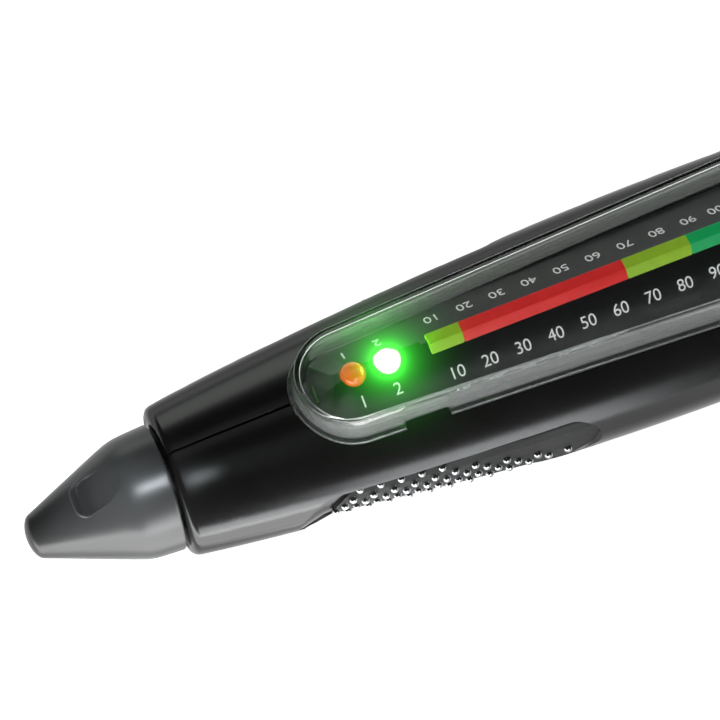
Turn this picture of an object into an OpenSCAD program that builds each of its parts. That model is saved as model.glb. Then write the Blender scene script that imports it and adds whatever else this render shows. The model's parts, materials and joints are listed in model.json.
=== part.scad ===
// Pen-shaped tester for stones: two half shells, a pull-off nose cap over a sprung probe,
// a domed clear window over a light bar, studded finger grips and a sliding battery door.
// Millimetres. X runs from the nose to the tail, Z is up and the flat underside is at Z = 0.
// Inside the modules, s is the distance from the cap's tip and z = 0 is the cap's axis.

/* [Body] */
// Length from the tip of the cap to the tail
body_len = 176; // [175:1:180]
// Height of the cap's axis above the flat underside
axis_h = 11.5; // [11.4:0.1:11.8]
// Distance from the tip to the front of the body
nose_s = 17.6; // [17.4:0.1:17.8]
// Half width of the body at the nose
nose_half_w = 9.4; // [9.3:0.1:9.8]
// Half width of the body at its widest
max_half_w = 15.3; // [15.2:0.1:16]
// Height of the body's top above the axis at the nose
nose_top = 7.9; // [7.8:0.1:8.3]
// Height of the body's top above the axis at its highest
max_top = 9.3; // [9.2:0.1:9.7]
// Wall of the shells
wall = 2; // [1.9:0.05:2.1]
// Slant of the parting between cap and body, in mm along the body for each mm of height
nose_slant = 0.1; // [0.05:0.01:0.15]

/* [Window] */
// Distance from the tip to the centre of the window's narrow front end
window_front_s = 41.5; // [41:0.1:42.5]
// Radius of the window's front end
window_front_r = 7.4; // [7.2:0.1:7.6]
// Gap between the window's rear end and the power button
button_gap = 1.7; // [1.5:0.1:2]
// Radius of the window's rear end
window_rear_r = 10.5; // [10.3:0.1:10.7]
// Height of the window's crown above the cap's axis
crown_z = 12.7; // [12.6:0.1:13.2]
// Height of the window's edge above the body around it
window_lip = 0.4; // [0.2:0.1:0.6]
// Wall of the window
window_wall = 1.1; // [1:0.05:1.2]

/* [Display] */
// Distance from the tip to the front end of the light bar
bar_s = 51.3; // [51:0.1:52]
// Distance from the light bar's rear end to the window's rear end
bar_rear_gap = 7.8; // [7.8:0.1:9]
// Width of the light bar
bar_w = 1.8; // [1.6:0.1:2]
// Distance from the tip to the battery lamp
battery_lamp_s = 41.9; // [41.7:0.1:42.1]
// Distance from the tip to the ready lamp
ready_lamp_s = 46.2; // [46:0.1:46.6]
// Lamp diameter
lamp_d = 3; // [2.8:0.1:3.1]

/* [Grips] */
// Depth of the finger recess in each side
recess_depth = 1.4; // [1.3:0.05:1.45]
// Thickness of the grip pad in the recess
pad_t = 0.45; // [0.4:0.05:0.5]
// Spacing of the studs along a row
stud_pitch = 2.48; // [2.44:0.02:2.54]
// Stud diameter
stud_d = 1.1; // [0.9:0.1:1.2]

/* [Nose] */
// Radius of the cap at its tip
cap_tip_r = 2.4; // [2.2:0.1:2.6]
// Distance from the tip to the knee of the cap
cap_knee_s = 12.9; // [12.7:0.1:13.1]
// Radius of the cap at its knee
cap_knee_r = 7.6; // [7.5:0.05:7.7]
// Radius of the cap at the rear
cap_rear_r = 7.85; // [7.75:0.05:8]
// Gap between the cap and the body
cap_gap = 0.6; // [0.4:0.1:0.8]
// Radius of the collar that the cap slides over
collar_r = 5.2; // [5.1:0.05:5.25]
// Travel of the probe
probe_travel = 1.5; // [1:0.1:2]

/* [Button] */
// Distance from the power button to the front of the battery tray
button_to_tray = 3.4; // [3:0.1:3.6]
// Button radius
button_r = 4; // [3.8:0.1:4.2]
// Travel of the button
button_travel = 0.8; // [0.5:0.1:0.8]

/* [Battery] */
// Diameter of a battery cell
cell_d = 10.5; // [10.4:0.05:10.5]
// Length of a battery cell with its nub
cell_len = 44.5; // [44:0.1:44.6]
// Length of the pressed springs behind the cells
cell_spring_len = 2.8; // [2.6:0.1:3]
// Distance from the battery tray to the tail
tail_room = 6.9; // [6.8:0.1:7.2]
// Half width of the battery door
door_half_w = 7; // [6.8:0.1:7.1]

/* [Hidden] */
$fn = 48;
slide_gap = 0.3;
run_gap = 0.1;
seat_gap = 0.15;
loop_n = 36;
upper_n = 1.75;
lower_n = 2.1;
width_power = 0.855;
top_power = 0.52;
wide_s = 95;
nose_round = 1;
nose_wall = 1.8;
tail_round = 10;
tail_narrow = 0.9;
tail_drop = 1.6;
belly_z = 13.6;
nose_low = 8.1;
mid_front = 1.9;
mid_rear = 0.5;
tray_wall = 1.2;
plate_t = 0.4;
tray_len = 2*tray_wall + 2*plate_t + cell_len + cell_spring_len;
tray_end_s = body_len - tail_room;
tray_s = tray_end_s - tray_len;
button_s = tray_s - button_to_tray;
window_rear_s = button_s - button_r - button_gap - window_rear_r;
bar_units = 12;
bar_pitch = (window_rear_s + window_rear_r - bar_rear_gap - bar_s)/bar_units;
bulkhead_s = nose_s + 6;
board_t = 1.6;
board_z = -1;
board_top = board_z + board_t;
board_front_s = window_front_s - 2;
board_end_s = tray_s - 0.6;
board_half_w = 9.4;
function board_at(share) = board_front_s + share*(board_end_s - board_front_s);
ledge_depth = 1;
ledge_w = 1.2;
roof_z = 10.74;
roof_fall = 0.6;
prism_roof_t = 1.4;
groove_z = 9;
bar_top = 11;
floor_z = -axis_h + wall;
cell_z = floor_z + cell_d/2 + 0.25;
cell_y = cell_d/2 + seat_gap;
tray_half_w = cell_y + 3.8;
tray_low = cell_z - 1.5;
tray_roof = cell_z + cell_d/2;
cell_s = tray_s + tray_wall + plate_t;
door_s = tray_s - 2;
door_top = -axis_h + wall - run_gap;
button_z = top_z(button_s);
flange_z = 6;
plunger_z = 4.2;
screw_boss_r = 3;
screw_low = floor_z + screw_boss_r - 0.3;
screw_at = [[bulkhead_s + 5.2, -5.4], [board_at(0.42), screw_low], [board_at(0.834), screw_low],
    [body_len - tail_room + 3.2, 0]];

// Outer form of the body: rounded sections whose width, top and bottom follow smooth curves

function ease(t) = sin(90*min(1, max(0, t)));
function along(s) = ease((s - nose_s)/(wide_s - nose_s));
function tail_u(s) = max(0, (s - wide_s)/(body_len - wide_s));
function half_w(s) = nose_half_w + (max_half_w - nose_half_w)*pow(along(s), width_power)
    - tail_narrow*pow(tail_u(s), 2);
function top_z(s) = nose_top + (max_top - nose_top)*pow(along(s), top_power)
    - tail_drop*pow(tail_u(s), 1.6);
function mid_z(s) = mid_front + (mid_rear - mid_front)*min(1, max(0, (s - nose_s)/(wide_s - nose_s)));
function low_z(s) = -nose_low - (belly_z - nose_low)*ease((s - nose_s)/70);
function slant(s) = nose_slant*max(0, 1 - (s - nose_s)/20);
function nose_in(s) = s >= nose_s + nose_round ? 0
    : nose_round - sqrt(pow(nose_round, 2) - pow(nose_round - max(0, s - nose_s), 2));
function tail_v(s, inset) = max(0, 0.97*(s - (body_len - inset - tail_round))/tail_round);
function tail_q(s, inset) = pow(1 - pow(min(0.97, tail_v(s, inset)), 2.4), 1/2.4);

function power(v, n) = sign(v)*pow(abs(v), 2/n);
function section(s, inset) = [
    for (k = [0:loop_n - 1])
        let (
            c = cos(360*k/loop_n),
            f = sin(360*k/loop_n),
            n = f >= 0 ? upper_n : lower_n,
            q = tail_q(s, inset),
            d = inset + nose_in(s),
            high = top_z(s) - d - mid_z(s),
            deep = mid_z(s) - low_z(s) - d,
            y = (half_w(s) - d)*q*power(c, n),
            z = mid_z(s) + (f >= 0 ? high : deep)*q*power(f, n),
            z_flat = max(z, -axis_h + inset)
        )
        [s + slant(s)*z_flat, y, z_flat]
];

// Stations along the body: close together at the nose and the tail
mid_steps = 17;
mid_from = nose_s + nose_round;
mid_to = body_len - tail_round;
stations = concat(
    [for (f = [0.03, 0.17, 0.45]) nose_s + nose_round*f],
    [for (i = [0:mid_steps]) mid_from + (mid_to - mid_from)*pow(i/mid_steps, 1.2)],
    [for (f = [0.25, 0.45, 0.62, 0.77, 0.89, 0.96, 1]) mid_to + tail_round*f]
);

// Joins two outlines of equal length that lie across the body
module joined(a, b) {
    n = len(a);
    hull() polyhedron(
        points = concat(a, b),
        faces = [[for (k = [0:n - 1]) k], [for (k = [0:n - 1]) 2*n - 1 - k]]
    );
}

// The form, set in by a wall, between two stations
module form(inset = 0, from = 0, to = 400) {
    start = max(from, stations[0]);
    stop = min(to, body_len - inset);
    inner = [for (s = stations) if (s > start + 0.2 && s < stop - 0.2) s];
    ends = concat([start], inner, [stop]);
    for (i = [0:len(ends) - 2])
        joined(section(ends[i], inset), section(ends[i + 1], inset));
}

// The floor of the finger recess, raised by the pad's thickness for the pad's face. It dips in from
// the front along a ramp, gets shallower to the rear, and is nearly flat where the side bulges.
module recess_form(rise = 0) {
    inner = [for (s = stations) if (s > scoop_end_s + 0.5 && s < 80) s];
    ends = concat([21, scoop_s], [for (i = [1:4]) scoop_s + (scoop_end_s - scoop_s)*i/4], inner, [80]);
    for (i = [0:len(ends) - 2])
        joined(recess_section(ends[i], rise), recess_section(ends[i + 1], rise));
}

scoop_s = 29.4;
scoop_end_s = 35;
fade_s = 38;
fade_end_s = 62;
fade = 0.8;
facet_depth = 1.2;
facet_r = 35;
facet_z = -0.3;
facet_out = 1.5;
function scoop(s) =
    let (t = min(1, max(0, (s - scoop_s)/(scoop_end_s - scoop_s))))
    t*t*(3 - 2*t);
function recess_in(s) =
    scoop(s)*(recess_depth - fade*min(1, max(0, (s - fade_s)/(fade_end_s - fade_s))));
function facet_y(s, z) = half_w(s) + facet_out - scoop(s)*(facet_depth + facet_out)
    - pow(z - facet_z, 2)/(2*facet_r);
function recess_section(s, rise) = [
    for (p = section(s, max(0, recess_in(s) - rise)))
        [p[0], sign(p[1])*min(abs(p[1]), facet_y(s, p[2]) + rise), p[2]]
];

// Height of the body's surface over a point in its upper half
function body_z(s, y) = mid_z(s) + (top_z(s) - mid_z(s))
    *pow(max(0, 1 - pow(abs(y)/half_w(s), upper_n)), 1/upper_n);

// Outlines in the flat

// Outline of two circles and their common tangents, grown or shrunk by d
function pill(a, ra, b, rb, d) =
    let (
        gap = norm(b - a),
        turn = atan2(b[1] - a[1], b[0] - a[0]),
        meet = acos((ra - rb)/gap)
    )
    concat(
        [for (i = [0:16]) let (t = turn - meet + 2*meet*i/16) b + (rb + d)*[cos(t), sin(t)]],
        [for (i = [0:16]) let (t = turn + meet + (360 - 2*meet)*i/16) a + (ra + d)*[cos(t), sin(t)]]
    );

window_front = [window_front_s, 0];
window_rear = [window_rear_s, 0];

// Half width of the window's outline, grown by d, at a station
function window_half(s, d) =
    let (
        a = acos((window_front_r - window_rear_r)/(window_rear_s - window_front_s)),
        fr = window_front_r + d,
        rr = window_rear_r + d,
        from = window_front_s + fr*cos(a),
        to = window_rear_s + rr*cos(a)
    )
    s < from ? sqrt(max(0, fr*fr - pow(s - window_front_s, 2)))
    : s > to ? sqrt(max(0, rr*rr - pow(s - window_rear_s, 2)))
    : (fr + (rr - fr)*(s - from)/(to - from))*sin(a);

// Section of the window's crown, set in by d at the sides and by t at the top. It has steep walls
// and a nearly flat top, and turns about the outline's end centres at both ends.
crown_n = 16;
crown_power = 4.5;
function crown(s, d, t) =
    let (
        w = window_half(s, -d),
        past = max(0, window_front_s - s, s - window_rear_s),
        reach = norm([w, past]),
        edge = body_z(s, window_half(s, 0)) + window_lip - t,
        high = crown_z - t - edge
    )
    concat(
        [[s, -w, -4], [s, w, -4]],
        [for (k = [0:crown_n])
            let (
                y = w*cos(180*k/crown_n),
                share = min(1, norm([y, past])/reach)
            )
            [s, y, edge + high*pow(1 - pow(share, crown_power), 1/crown_power)]]
    );

// The window's crown as a solid block down through the body's top
module crown_block(d, t) {
    from = window_front_s - window_front_r + d;
    to = window_rear_s + window_rear_r - d;
    ends = [for (i = [0:26]) let (a = 180*i/26, u = (1 - cos(a))/2) from + 0.04 + (to - from - 0.08)*u];
    for (i = [0:25])
        joined(crown(ends[i], d, t), crown(ends[i + 1], d, t));
}

// Column over the window's outline
module window_column(d, low = 0, high = 30) {
    translate([0, 0, low])
        linear_extrude(high - low)
            polygon(pill(window_front, window_front_r, window_rear, window_rear_r, d));
}

// Round corners of the finger recess, seen from the side: each has a place and a radius
grip_front = [35.5, -1.5, 5.3];
pad_front = [39.6, -1.35, 5.1];
grip_corners = [[38.5, -4.8, 3.8], [56, -4.6, 3.6], [63.8, -0.1, 3.9]];

// Bar through the side of the body over the finger recess, from a round front end
module grip_column(d, side, front = grip_front) {
    translate([0, side > 0 ? 30 : -5, 0])
        rotate([90, 0, 0])
            linear_extrude(25)
                hull()
                    for (c = concat([front], grip_corners))
                        translate([c[0], c[1]])
                            circle(r = c[2] + d, $fn = 40);
}

// Round bar along the body
module bar_x(r, from, to) {
    translate([from, 0, 0])
        rotate([0, 90, 0])
            cylinder(r = r, h = to - from);
}

// Moves a piece from the cap's axis to the part's own frame
module placed() {
    translate([-body_len/2, 0, axis_h])
        children();
}

// Shells

module ribs() {
    translate([nose_s - 4, -15, -15])
        cube([10, 30, 30]);
    for (s = [board_at(0.06), board_at(0.516), board_at(0.898)])
        translate([s, 0, 0])
            for (m = [0, 1])
                mirror([0, m, 0])
                    translate([-0.8, 4.5, -15])
                        cube([1.6, 12, 15 + board_z]);
    for (s = [tray_s - 1.6, tray_end_s])
        for (m = [0, 1])
            mirror([0, m, 0])
                translate([s, tray_half_w - 0.8, tray_low])
                    cube([1.6, 8, board_z - 0.2 - tray_low]);
    for (p = screw_at)
        translate([p[0], 15, p[1]])
            rotate([90, 0, 0])
                cylinder(r = screw_boss_r, h = 30);
}

// Screw bores, with a counterbore for the heads in the right shell
module screw_bores() {
    for (p = screw_at)
        translate([p[0], 0, p[1]]) {
            rotate([90, 0, 0])
                cylinder(r = 1, h = 7);
            rotate([-90, 0, 0]) {
                cylinder(r = 1.2, h = 7);
                translate([0, 0, head_y(p)])
                    cylinder(r = 2.1, h = 20);
            }
        }
}

// Narrow groove along the outside of the seam between the shells
module seam_groove() {
    intersection() {
        translate([nose_s - 1, -groove_half_w, -20])
            cube([body_len, 2*groove_half_w, 40]);
        difference() {
            translate([nose_s - 1, -20, -20])
                cube([body_len, 40, 40]);
            form(inset = groove_depth, from = nose_s + 0.1);
        }
    }
}

groove_half_w = 0.2;
groove_depth = 0.45;

// Depth of a screw head's seat from the seam
function head_y(p) = p[0] < 40 ? 5.5 : 7;

module door_way() {
    translate([door_s - 0.2, -door_half_w - 0.2, -axis_h - 1])
        cube([80, 2*door_half_w + 0.4, wall + 1]);
    translate([door_s + 1.7, -door_half_w - 1.3, -axis_h + 0.7])
        cube([80, 2*door_half_w + 2.6, 1]);
}

module shell(side) {
    difference() {
        form();
        difference() {
            form(inset = wall, from = nose_s + nose_wall, to = 400);
            ribs();
        }
        translate([-10, side > 0 ? -50 : 0, -50])
            cube([300, 50, 100]);
        window_column(-ledge_w);
        difference() {
            window_column(seat_gap);
            form(inset = ledge_depth, from = 24, to = button_s + 10);
            clip_tabs(0);
        }
        intersection() {
            grip_column(0, side);
            difference() {
                translate([22, -25, -25])
                    cube([56, 50, 50]);
                recess_form();
            }
        }
        seam_groove();
        bar_x(collar_r + 0.05, 0, 30);
        translate([button_s, 0, 5])
            cylinder(r = button_r + slide_gap, h = 20);
        door_way();
        screw_bores();
    }
}

module left_shell() {
    color([0.05, 0.05, 0.055]) shell(-1);
}

module right_shell() {
    color([0.06, 0.06, 0.065]) shell(1);
}

// Window

clip_s = 45.6;
clip_len = 5.2;
clip_depth = 0.8;

// Clip tabs of the shells, which fill a notch in each side of the window
module clip_tabs(d) {
    for (m = [0, 1])
        mirror([0, m, 0])
            translate([clip_s - d, window_half(clip_s + clip_len/2, 0) - clip_depth - d, -4])
                cube([clip_len + 2*d, 5, 30]);
}

module window() {
    color([0.75, 0.8, 0.82, 0.35]) difference() {
        crown_block(0, 0);
        crown_block(ledge_w + 0.1, window_wall);
        form(inset = ledge_depth, from = 24, to = button_s + 10);
        clip_tabs(seat_gap);
    }
}

// Display

// Roof profile across the body, set in by d
module roof(d) {
    half = window_rear_r;
    high = roof_z - d;
    eave = high - roof_fall*half;
    foot = board_top - 1;
    translate([window_front_s - 10, 0, 0])
        rotate([90, 0, 90])
            linear_extrude(window_rear_s - window_front_s + 25)
                polygon([[-half, foot], [-half, eave], [0, high], [half, eave], [half, foot]]);
}

// Black roof under the window: a light bar groove on its ridge, lamp holes and sloping ends
module display_prism() {
    color([0.07, 0.07, 0.08]) difference() {
        intersection() {
            roof(0);
            window_column(-2.1, board_top, 20);
        }
        intersection() {
            roof(prism_roof_t);
            window_column(-2.9, board_top - 0.5, groove_z - 0.8);
        }
        translate([bar_s, -bar_w/2, groove_z])
            cube([bar_units*bar_pitch, bar_w, 9]);
        for (i = [0:bar_units - 1])
            translate([bar_s + bar_pitch*(i + 0.5), 0, board_top])
                cylinder(r = 0.6, h = 9);
        for (s = [battery_lamp_s, ready_lamp_s])
            translate([s, 0, board_top])
                cylinder(r = lamp_d/2 + 0.1, h = 12);
        translate([35, -0.8, roof_z - 0.35])
            cube([bar_s - 35 - 0.8, 1.6, 3]);
        translate([window_front_s - 1.7, 0, roof_z])
            rotate([0, -45, 0])
                translate([-20, -15, 0])
                    cube([20, 30, 10]);
        translate([window_rear_s + 3, 0, roof_z])
            rotate([0, 38, 0])
                translate([0, -15, 0])
                    cube([20, 30, 10]);
    }
}

module bar_part(first, units) {
    translate([bar_s + first*bar_pitch, -bar_w/2, groove_z])
        cube([units*bar_pitch, bar_w, bar_top - groove_z]);
}

module bar_first() {
    color([0.55, 0.7, 0.16]) bar_part(0, 1);
}

module bar_red() {
    color([0.78, 0.16, 0.16]) bar_part(1, 5);
}

module bar_second() {
    color([0.55, 0.7, 0.16]) bar_part(6, 2);
}

module bar_green() {
    color([0.05, 0.58, 0.32]) bar_part(8, 4);
}

lamp_top = 11.2;

// Round lamp that stands on the board
module lamp(s) {
    translate([s, 0, board_top]) {
        cylinder(r = lamp_d/2, h = lamp_top - board_top - lamp_d/2);
        translate([0, 0, lamp_top - board_top - lamp_d/2])
            sphere(r = lamp_d/2);
    }
}

module ready_lamp() {
    color([0.2, 0.9, 0.3]) lamp(ready_lamp_s);
}

module battery_lamp() {
    color([0.85, 0.45, 0.12]) lamp(battery_lamp_s);
}

// Finger grips

module grip(side) {
    intersection() {
        grip_column(-seat_gap, side, pad_front);
        difference() {
            recess_form(pad_t);
            recess_form();
        }
    }
}

module left_grip() {
    color([0.09, 0.09, 0.09]) grip(-1);
}

module right_grip() {
    color([0.09, 0.09, 0.09]) grip(1);
}

// Half width of the pad's face at a height
function pad_y(s, z) =
    let (
        d = recess_in(s) - pad_t,
        m = mid_z(s),
        n = z >= m ? upper_n : lower_n,
        h = z >= m ? top_z(s) - d - m : m - low_z(s) - d
    )
    min(facet_y(s, z) + pad_t, (half_w(s) - d)*pow(1 - pow(abs(z - m)/h, n), 1/n));

// Field of studs: level rows, each set back from the row below, between a round front end
// and a slanted rear line
stud_low_z = -2;
stud_rows = 5;
stud_row = stud_pitch/2;
stud_slip = 0.42*stud_pitch;
stud_first_s = 33.9;
stud_round = [40.5, -0.5];
stud_round_r = 5.7;
stud_end_s = 64;
stud_end_run = 3.05;
function in_field(s, z) = norm([min(0, s - stud_round[0]), z - stud_round[1]]) <= stud_round_r
    && s <= stud_end_s - stud_end_run*(z - stud_low_z);

module studs(side) {
    for (j = [0:stud_rows - 1])
        for (i = [-2:13]) {
            s = stud_first_s + stud_pitch*i + stud_slip*j;
            z = stud_low_z + stud_row*j;
            if (in_field(s, z))
                translate([s + slant(s)*z, side*pad_y(s, z), z])
                    sphere(r = stud_d/2);
        }
}

module left_studs() {
    color([0.85, 0.86, 0.88]) studs(-1);
}

module right_studs() {
    color([0.85, 0.86, 0.88]) studs(1);
}

// Nose

cap_rear_s = nose_s - cap_gap;
cap_step_s = 11.5;
socket_r = collar_r + 0.4;

module nose_cap() {
    color([0.22, 0.22, 0.23]) difference() {
        rotate([0, 90, 0])
            rotate_extrude()
                polygon([[0, 0], [cap_tip_r - 0.5, 0], [cap_tip_r, 0.5],
                    [cap_knee_r - 0.25, cap_knee_s - 0.55], [cap_knee_r, cap_knee_s],
                    [cap_rear_r, cap_rear_s + 3], [0, cap_rear_s + 3]]);
        bar_x(socket_r, cap_step_s, 40);
        bar_x(2.4, 4.5, 40);
        translate([cap_rear_s, 0, 0])
            rotate([0, atan(nose_slant), 0])
                translate([0, -20, -20])
                    cube([40, 40, 40]);
        cap_notch();
    }
}

notch_s = 7.3;
notch_z = 4.1;
notch_half_w = 2.2;
notch_rise = 31.4;
notch_round = 1.2;

// Pull notch in the cap's top: a round-cornered front end and a floor that rises out at the knee
module cap_notch() {
    translate([notch_s, 0, notch_z])
        rotate([0, -notch_rise, 0])
            linear_extrude(6)
                union() {
                    translate([notch_round, -notch_half_w])
                        square([8, 2*notch_half_w]);
                    translate([0, notch_round - notch_half_w])
                        square([2, 2*(notch_half_w - notch_round)]);
                    for (y = [-1, 1])
                        translate([notch_round, y*(notch_half_w - notch_round)])
                            circle(r = notch_round);
                }
}

module nose_collar() {
    color([0.16, 0.16, 0.17]) difference() {
        union() {
            bar_x(collar_r, cap_step_s, bulkhead_s + 1.6);
            bar_x(collar_r + 0.9, bulkhead_s, bulkhead_s + 1.6);
        }
        bar_x(barrel_r + 0.02, 0, 40);
        translate([seal_s, 0, 0])
            rotate([0, 90, 0])
                difference() {
                    cylinder(r = collar_r + 3, h = 1.4, center = true);
                    cylinder(r = seal_r - seal_wire, h = 3, center = true);
                }
    }
}

seal_s = 14.5;
seal_wire = 0.6;
seal_r = collar_r - 0.4;

module cap_seal() {
    color([0.03, 0.03, 0.03])
        translate([seal_s, 0, 0])
            rotate([0, 90, 0])
                rotate_extrude()
                    translate([seal_r, 0])
                        circle(r = seal_wire);
}

barrel_r = 1.6;
barrel_bore_r = 1;
probe_r = 0.65;
piston_s = 12;
piston_len = 3;
spring_end_s = 26;

module probe_barrel() {
    color([0.72, 0.73, 0.75]) difference() {
        union() {
            bar_x(barrel_r, 8, 34);
            bar_x(barrel_r + 0.9, bulkhead_s + 1.6, bulkhead_s + 3);
        }
        bar_x(barrel_bore_r, 10, spring_end_s);
        bar_x(probe_r + run_gap, 0, 12);
    }
}

module probe_tip() {
    color([0.75, 0.45, 0.25]) union() {
        bar_x(probe_r, 6.2, piston_s + 1);
        translate([5.2, 0, 0])
            rotate([0, 90, 0])
                cylinder(r1 = 0.25, r2 = probe_r, h = 1);
        bar_x(barrel_bore_r - run_gap, piston_s, piston_s + piston_len);
    }
}

// One unbroken coil along an axis: centre line, wire radius, curls, length and how far it is pressed
coil_sides = 6;
coil_steps = 8;
function coil_point(r, wire, curls, length, i, k) =
    let (
        t = i/(curls*coil_steps),
        a = 360*i/coil_steps,
        b = 360*k/coil_sides,
        rr = r + wire*cos(b)
    )
    [rr*cos(a), rr*sin(a), wire + (length - 2*wire)*t + wire*sin(b)];

module coil(r, wire, curls, length, press = 0) {
    n = curls*coil_steps;
    ring = coil_sides;
    polyhedron(
        points = [for (i = [0:n]) for (k = [0:ring - 1]) coil_point(r, wire, curls, length, i, k)],
        faces = concat(
            [[for (k = [0:ring - 1]) k]],
            [for (i = [0:n - 1]) for (k = [0:ring - 1])
                [i*ring + k, (i + 1)*ring + k, i*ring + (k + 1)%ring]],
            [for (i = [0:n - 1]) for (k = [0:ring - 1])
                [i*ring + (k + 1)%ring, (i + 1)*ring + k, (i + 1)*ring + (k + 1)%ring]],
            [[for (k = [0:ring - 1]) n*ring + ring - 1 - k]]
        )
    );
    echo("gap between curls when pressed", (length - press - 2*wire)/curls - 2*wire);
}

module probe_spring() {
    color([0.75, 0.76, 0.78])
        translate([piston_s + piston_len, 0, 0])
            rotate([0, 90, 0])
                coil(0.65, 0.15, 10, spring_end_s - piston_s - piston_len, probe_travel);
}

// Board and what stands on it

module main_board() {
    color([0.05, 0.3, 0.16])
        translate([0, 0, board_z])
            linear_extrude(board_t)
                polygon([[board_front_s, -6], [window_front_s + 1, -6.6], [window_rear_s, -board_half_w],
                    [board_end_s, -board_half_w], [board_end_s, board_half_w], [window_rear_s, board_half_w],
                    [window_front_s + 1, 6.6], [board_front_s, 6]]);
}

module bar_leds() {
    color([0.9, 0.88, 0.75])
        for (i = [0:bar_units - 1])
            translate([bar_s + bar_pitch*(i + 0.5) - 0.8, -0.6, board_top])
                cube([1.6, 1.2, 0.8]);
}

module controller() {
    color([0.08, 0.08, 0.08]) union() {
        translate([board_at(0.287), -5, board_z - 1.8])
            cube([10, 10, 1.5]);
        for (i = [0:9])
            translate([board_at(0.287) + 0.3 + i, -6.2, board_z - 1])
                cube([0.4, 12.4, 1]);
    }
}

module buzzer() {
    color([0.1, 0.1, 0.1])
        translate([board_at(0.567), 0, board_z - 4])
            difference() {
                cylinder(r = 4.6, h = 4);
                translate([0, 0, -1])
                    cylinder(r = 0.8, h = 2);
            }
}

// Power button

module power_button() {
    color([0.28, 0.28, 0.3]) translate([button_s, 0, 0])
        union() {
            translate([0, 0, flange_z - 1.2])
                cylinder(r = button_r + 0.9, h = 1.2);
            difference() {
                translate([0, 0, flange_z - 0.6])
                    cylinder(r = button_r, h = button_z + 0.7 - flange_z + 0.6);
                translate([0, 0, button_z + 18.4])
                    sphere(r = 18);
            }
            translate([0, 0, plunger_z])
                cylinder(r = 1.5, h = flange_z - plunger_z);
        }
}

module switch_plunger() {
    color([0.75, 0.2, 0.15])
        translate([button_s, 0, board_top + 1.2])
            cylinder(r = 1.6, h = plunger_z - board_top - 1.2);
}

module push_switch() {
    color([0.5, 0.5, 0.52])
        translate([button_s, 0, board_top])
            difference() {
                translate([-3, -3, 0])
                    cube([6, 6, 2]);
                translate([0, 0, 1.1 - button_travel])
                    cylinder(r = 1.6 + run_gap, h = 5);
            }
}

// Battery

module battery_tray() {
    color([0.1, 0.1, 0.11]) union() {
        translate([tray_s, -tray_half_w, tray_roof])
            cube([tray_end_s - tray_s, 2*tray_half_w, 1]);
        for (s = [tray_s, tray_end_s - tray_wall])
            translate([s, -tray_half_w, tray_low])
                cube([tray_wall, 2*tray_half_w, tray_roof + 0.6 - tray_low]);
    }
}

module battery_cells() {
    color([0.2, 0.35, 0.62])
        for (m = [0, 1])
            translate([cell_s + (m == 1 ? cell_len : 0), m == 1 ? cell_y : -cell_y, cell_z])
                rotate([0, m == 1 ? -90 : 90, 0]) {
                    cylinder(r = 1.9, h = 2);
                    translate([0, 0, 0.9])
                        cylinder(r = cell_d/2, h = cell_len - 0.9);
                }
}

module front_contacts() {
    color([0.78, 0.78, 0.76])
        for (y = [-cell_y, cell_y])
            translate([tray_s + tray_wall, y - 3.2, cell_z - 1.4])
                cube([plate_t, 6.4, 5]);
}

module rear_contacts() {
    color([0.78, 0.78, 0.76])
        translate([tray_end_s - tray_wall - plate_t, -cell_y - 3.2, cell_z - 1.4])
            cube([plate_t, 2*cell_y + 6.4, 5]);
}

// Springs that press the cells, between the rear contact and the cells
module contact_springs() {
    color([0.8, 0.8, 0.78])
        for (y = [-cell_y, cell_y])
            translate([cell_s + cell_len, y, cell_z])
                rotate([0, 90, 0])
                    coil(2.2, 0.2, 2, cell_spring_len);
}

module battery_door() {
    color([0.06, 0.06, 0.065]) difference() {
        intersection() {
            form(from = 100, to = 400);
            union() {
                translate([door_s, -door_half_w, -axis_h - 1])
                    cube([80, 2*door_half_w, 1 + door_top + axis_h]);
                translate([door_s + 2, -door_half_w - 1, -axis_h + 0.95])
                    cube([tray_len - 2.5, 2*door_half_w + 2, 0.5]);
            }
        }
        for (i = [0:3])
            translate([door_s + 5 + 2*i, -4.5, -axis_h - 0.5])
                cube([0.9, 9, 1]);
    }
}

module shell_screws() {
    color([0.55, 0.55, 0.57])
        for (p = screw_at)
            translate([p[0], 0, p[1]])
                rotate([-90, 0, 0])
                    difference() {
                        union() {
                            translate([0, 0, -6])
                                cylinder(r = 0.95, h = head_y(p) + 6);
                            translate([0, 0, head_y(p)])
                                cylinder(r = 1.9, h = 1.4);
                        }
                        for (t = [0, 90])
                            rotate([0, 0, t])
                                translate([-1.2, -0.25, head_y(p) + 0.7])
                                    cube([2.4, 0.5, 2]);
                    }
}

placed() {
    left_shell();
    right_shell();
    window();
    display_prism();
    bar_first();
    bar_red();
    bar_second();
    bar_green();
    ready_lamp();
    battery_lamp();
    left_grip();
    right_grip();
    left_studs();
    right_studs();
    nose_cap();
    nose_collar();
    cap_seal();
    probe_barrel();
    probe_tip();
    probe_spring();
    main_board();
    bar_leds();
    controller();
    buzzer();
    power_button();
    switch_plunger();
    push_switch();
    battery_tray();
    battery_cells();
    front_contacts();
    rear_contacts();
    contact_springs();
    battery_door();
    shell_screws();
}
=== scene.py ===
"""Looks of a pen-shaped tester for stones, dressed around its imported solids."""

import json
import logging
import math
from collections.abc import Iterable, Sequence
from dataclasses import dataclass, field
from enum import Enum, IntEnum
from typing import ClassVar

import bmesh
import bpy
import numpy as np
from bmesh.types import BMEdge, BMesh, BMVert
from bpy.types import Material, Mesh, Node, NodeSocket, NodeTree, Object
from mathutils import Euler, Matrix, Vector


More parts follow.
